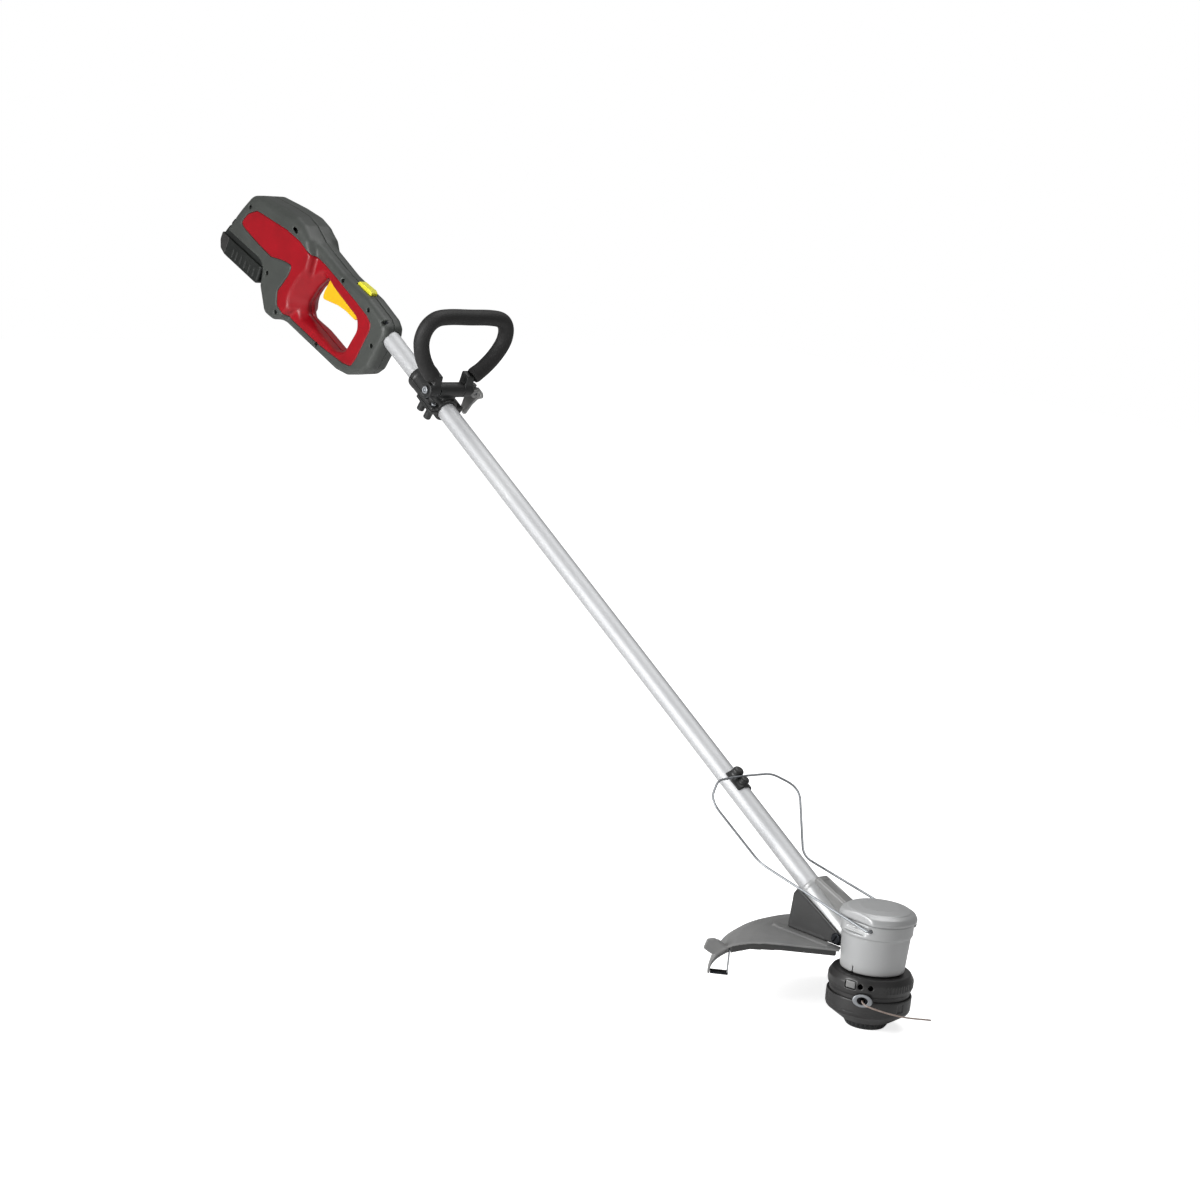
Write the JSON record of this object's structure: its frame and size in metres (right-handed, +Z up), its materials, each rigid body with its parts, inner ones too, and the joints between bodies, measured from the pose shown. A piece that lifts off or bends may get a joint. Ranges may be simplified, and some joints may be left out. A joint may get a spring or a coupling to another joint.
{
  "type": "cordless string trimmer",
  "caption": "Battery string trimmer with a red and grey rear handle, black loop handle, aluminium shaft, wire guard, grey debris shield and bump-feed line head.",
  "frame": {"origin": "centre of the bump knob's flat underside, on the axis that the cutting head spins about", "axes": "+Z up along the head's axis, +X forward away from the operator, +Y to the operator's left"},
  "size_m": [1.5025, 0.2958, 0.8575],
  "materials": {
    "grey_glass_filled_nylon": "matte",
    "red_gloss_abs": "gloss",
    "yellow_acetal": "semi-gloss",
    "lime_acetal": "semi-gloss",
    "black_nylon": "matte",
    "black_foam_rubber": "matte",
    "mid_grey_polypropylene": "matte",
    "dark_grey_polypropylene": "matte",
    "grey_painted_nylon": "satin",
    "silver_painted_nylon": "satin metallic paint",
    "satin_anodised_aluminium": "satin",
    "zinc_plated_steel": "satin",
    "black_oxide_steel": "black oxide",
    "enamelled_copper": "enamelled",
    "green_circuit_board": "satin",
    "nylon_cutting_line": "satin",
    "blue_cell_sleeve": "gloss",
    "black_cable_rubber": "matte"
  },
  "bodies": {
    "trimmer": {"housing_right": "grey_glass_filled_nylon", "housing_left": "grey_glass_filled_nylon", "grip_cover_right": "red_gloss_abs", "grip_cover_left": "red_gloss_abs", "trigger_switch": "black_nylon", "control_board": "green_circuit_board", "heat_sink": "satin_anodised_aluminium", "battery_terminal_block": "black_nylon", "housing_screw_1": "black_oxide_steel", "housing_screw_2": "black_oxide_steel", "housing_screw_3": "black_oxide_steel", "housing_screw_4": "black_oxide_steel", "housing_screw_5": "black_oxide_steel", "housing_screw_6": "black_oxide_steel", "housing_screw_7": "black_oxide_steel", "housing_screw_8": "black_oxide_steel", "housing_screw_9": "black_oxide_steel", "shaft_tube": "satin_anodised_aluminium", "motor_cable": "black_cable_rubber", "wire_clip": "black_nylon", "motor_housing": "silver_painted_nylon", "neck_cover": "grey_painted_nylon", "motor_cap": "silver_painted_nylon", "stator": "enamelled_copper", "upper_bearing": "zinc_plated_steel", "lower_bearing": "zinc_plated_steel", "shield_bracket": "dark_grey_polypropylene", "bracket_screw_right": "black_oxide_steel", "bracket_screw_left": "black_oxide_steel", "debris_shield": "mid_grey_polypropylene", "shield_screw_1": "zinc_plated_steel", "shield_screw_2": "zinc_plated_steel", "line_cutter_blade": "zinc_plated_steel"},
    "trigger": {"trigger": "yellow_acetal"},
    "lock_button": {"lock_button": "lime_acetal"},
    "battery": {"battery_case_lower": "black_nylon", "battery_case_upper": "black_nylon", "battery_cell_block": "blue_cell_sleeve"},
    "battery_latch": {"battery_latch": "black_nylon"},
    "clamp": {"handle_clamp_upper": "black_nylon", "handle_clamp_lower": "black_nylon", "clamp_screw_1": "zinc_plated_steel", "clamp_screw_2": "zinc_plated_steel", "loop_bolt": "zinc_plated_steel"},
    "loop_handle": {"loop_core": "black_nylon", "loop_grip": "black_foam_rubber"},
    "clamp_lever": {"clamp_lever": "silver_painted_nylon"},
    "wire_guard": {"guard_wire": "zinc_plated_steel"},
    "cutting_head": {"rotor": "black_oxide_steel", "motor_shaft": "zinc_plated_steel", "spool_housing": "black_nylon", "spool_cover": "black_nylon", "line_eyelet": "zinc_plated_steel", "arbor_nut": "zinc_plated_steel", "bump_spring": "zinc_plated_steel", "cutting_line": "nylon_cutting_line"},
    "bump_carrier": {"thrust_washer": "zinc_plated_steel"},
    "spool": {"spool": "black_nylon", "line_coil": "nylon_cutting_line", "bump_knob": "black_nylon"}
  },
  "joints": [
    {"name": "trigger_squeeze", "type": "hinge", "parent": "trimmer", "child": "trigger", "pos_m": [-1.08587, 0, 0.71812], "axis": [0, 1, 0], "range_deg": [0, 7], "stiffness_Nm_per_rad": 1.2, "springref_deg": -20.05},
    {"name": "lock_button_press", "type": "slide", "parent": "trimmer", "child": "lock_button", "axis": [-0.515, 0, -0.8572], "range_m": [0, 0.003], "stiffness_N_per_m": 500, "springref_m": -0.004},
    {"name": "battery_slide", "type": "slide", "parent": "trimmer", "child": "battery", "axis": [-0.9304, 0, 0.3665], "range_m": [0, 0.12]},
    {"name": "battery_latch_press", "type": "slide", "parent": "battery", "child": "battery_latch", "axis": [0.9304, 0, -0.3665], "range_m": [0, 0.0016], "stiffness_N_per_m": 800, "springref_m": -0.003},
    {"name": "clamp_slide", "type": "slide", "parent": "trimmer", "child": "clamp", "axis": [-0.8572, 0, 0.515], "range_m": [-0.15, 0.05]},
    {"name": "loop_tilt", "type": "hinge", "parent": "clamp", "child": "loop_handle", "pos_m": [-0.88578, 0, 0.63756], "axis": [0, 1, 0], "range_deg": [-35, 30]},
    {"name": "lever_swing", "type": "hinge", "parent": "clamp", "child": "clamp_lever", "pos_m": [-0.88578, 0.0434, 0.63756], "axis": [0.8572, 0, -0.515], "range_deg": [0, 100]},
    {"name": "guard_swing", "type": "hinge", "parent": "trimmer", "child": "wire_guard", "pos_m": [0.0228, 0, 0.1279], "axis": [0, 1, 0], "range_deg": [0, 182]},
    {"name": "head_spin", "type": "hinge", "parent": "trimmer", "child": "cutting_head", "pos_m": [0, 0, 0.07], "axis": [0, 0, 1], "continuous": true},
    {"name": "bump_press", "type": "slide", "parent": "cutting_head", "child": "bump_carrier", "axis": [0, 0, 1], "range_m": [0, 0.006], "stiffness_N_per_m": 2500, "springref_m": -0.012, "deforming": ["bump_spring"]},
    {"name": "spool_turn", "type": "hinge", "parent": "bump_carrier", "child": "spool", "pos_m": [0, 0, 0.024], "axis": [0, 0, 1], "continuous": true}
  ]
}
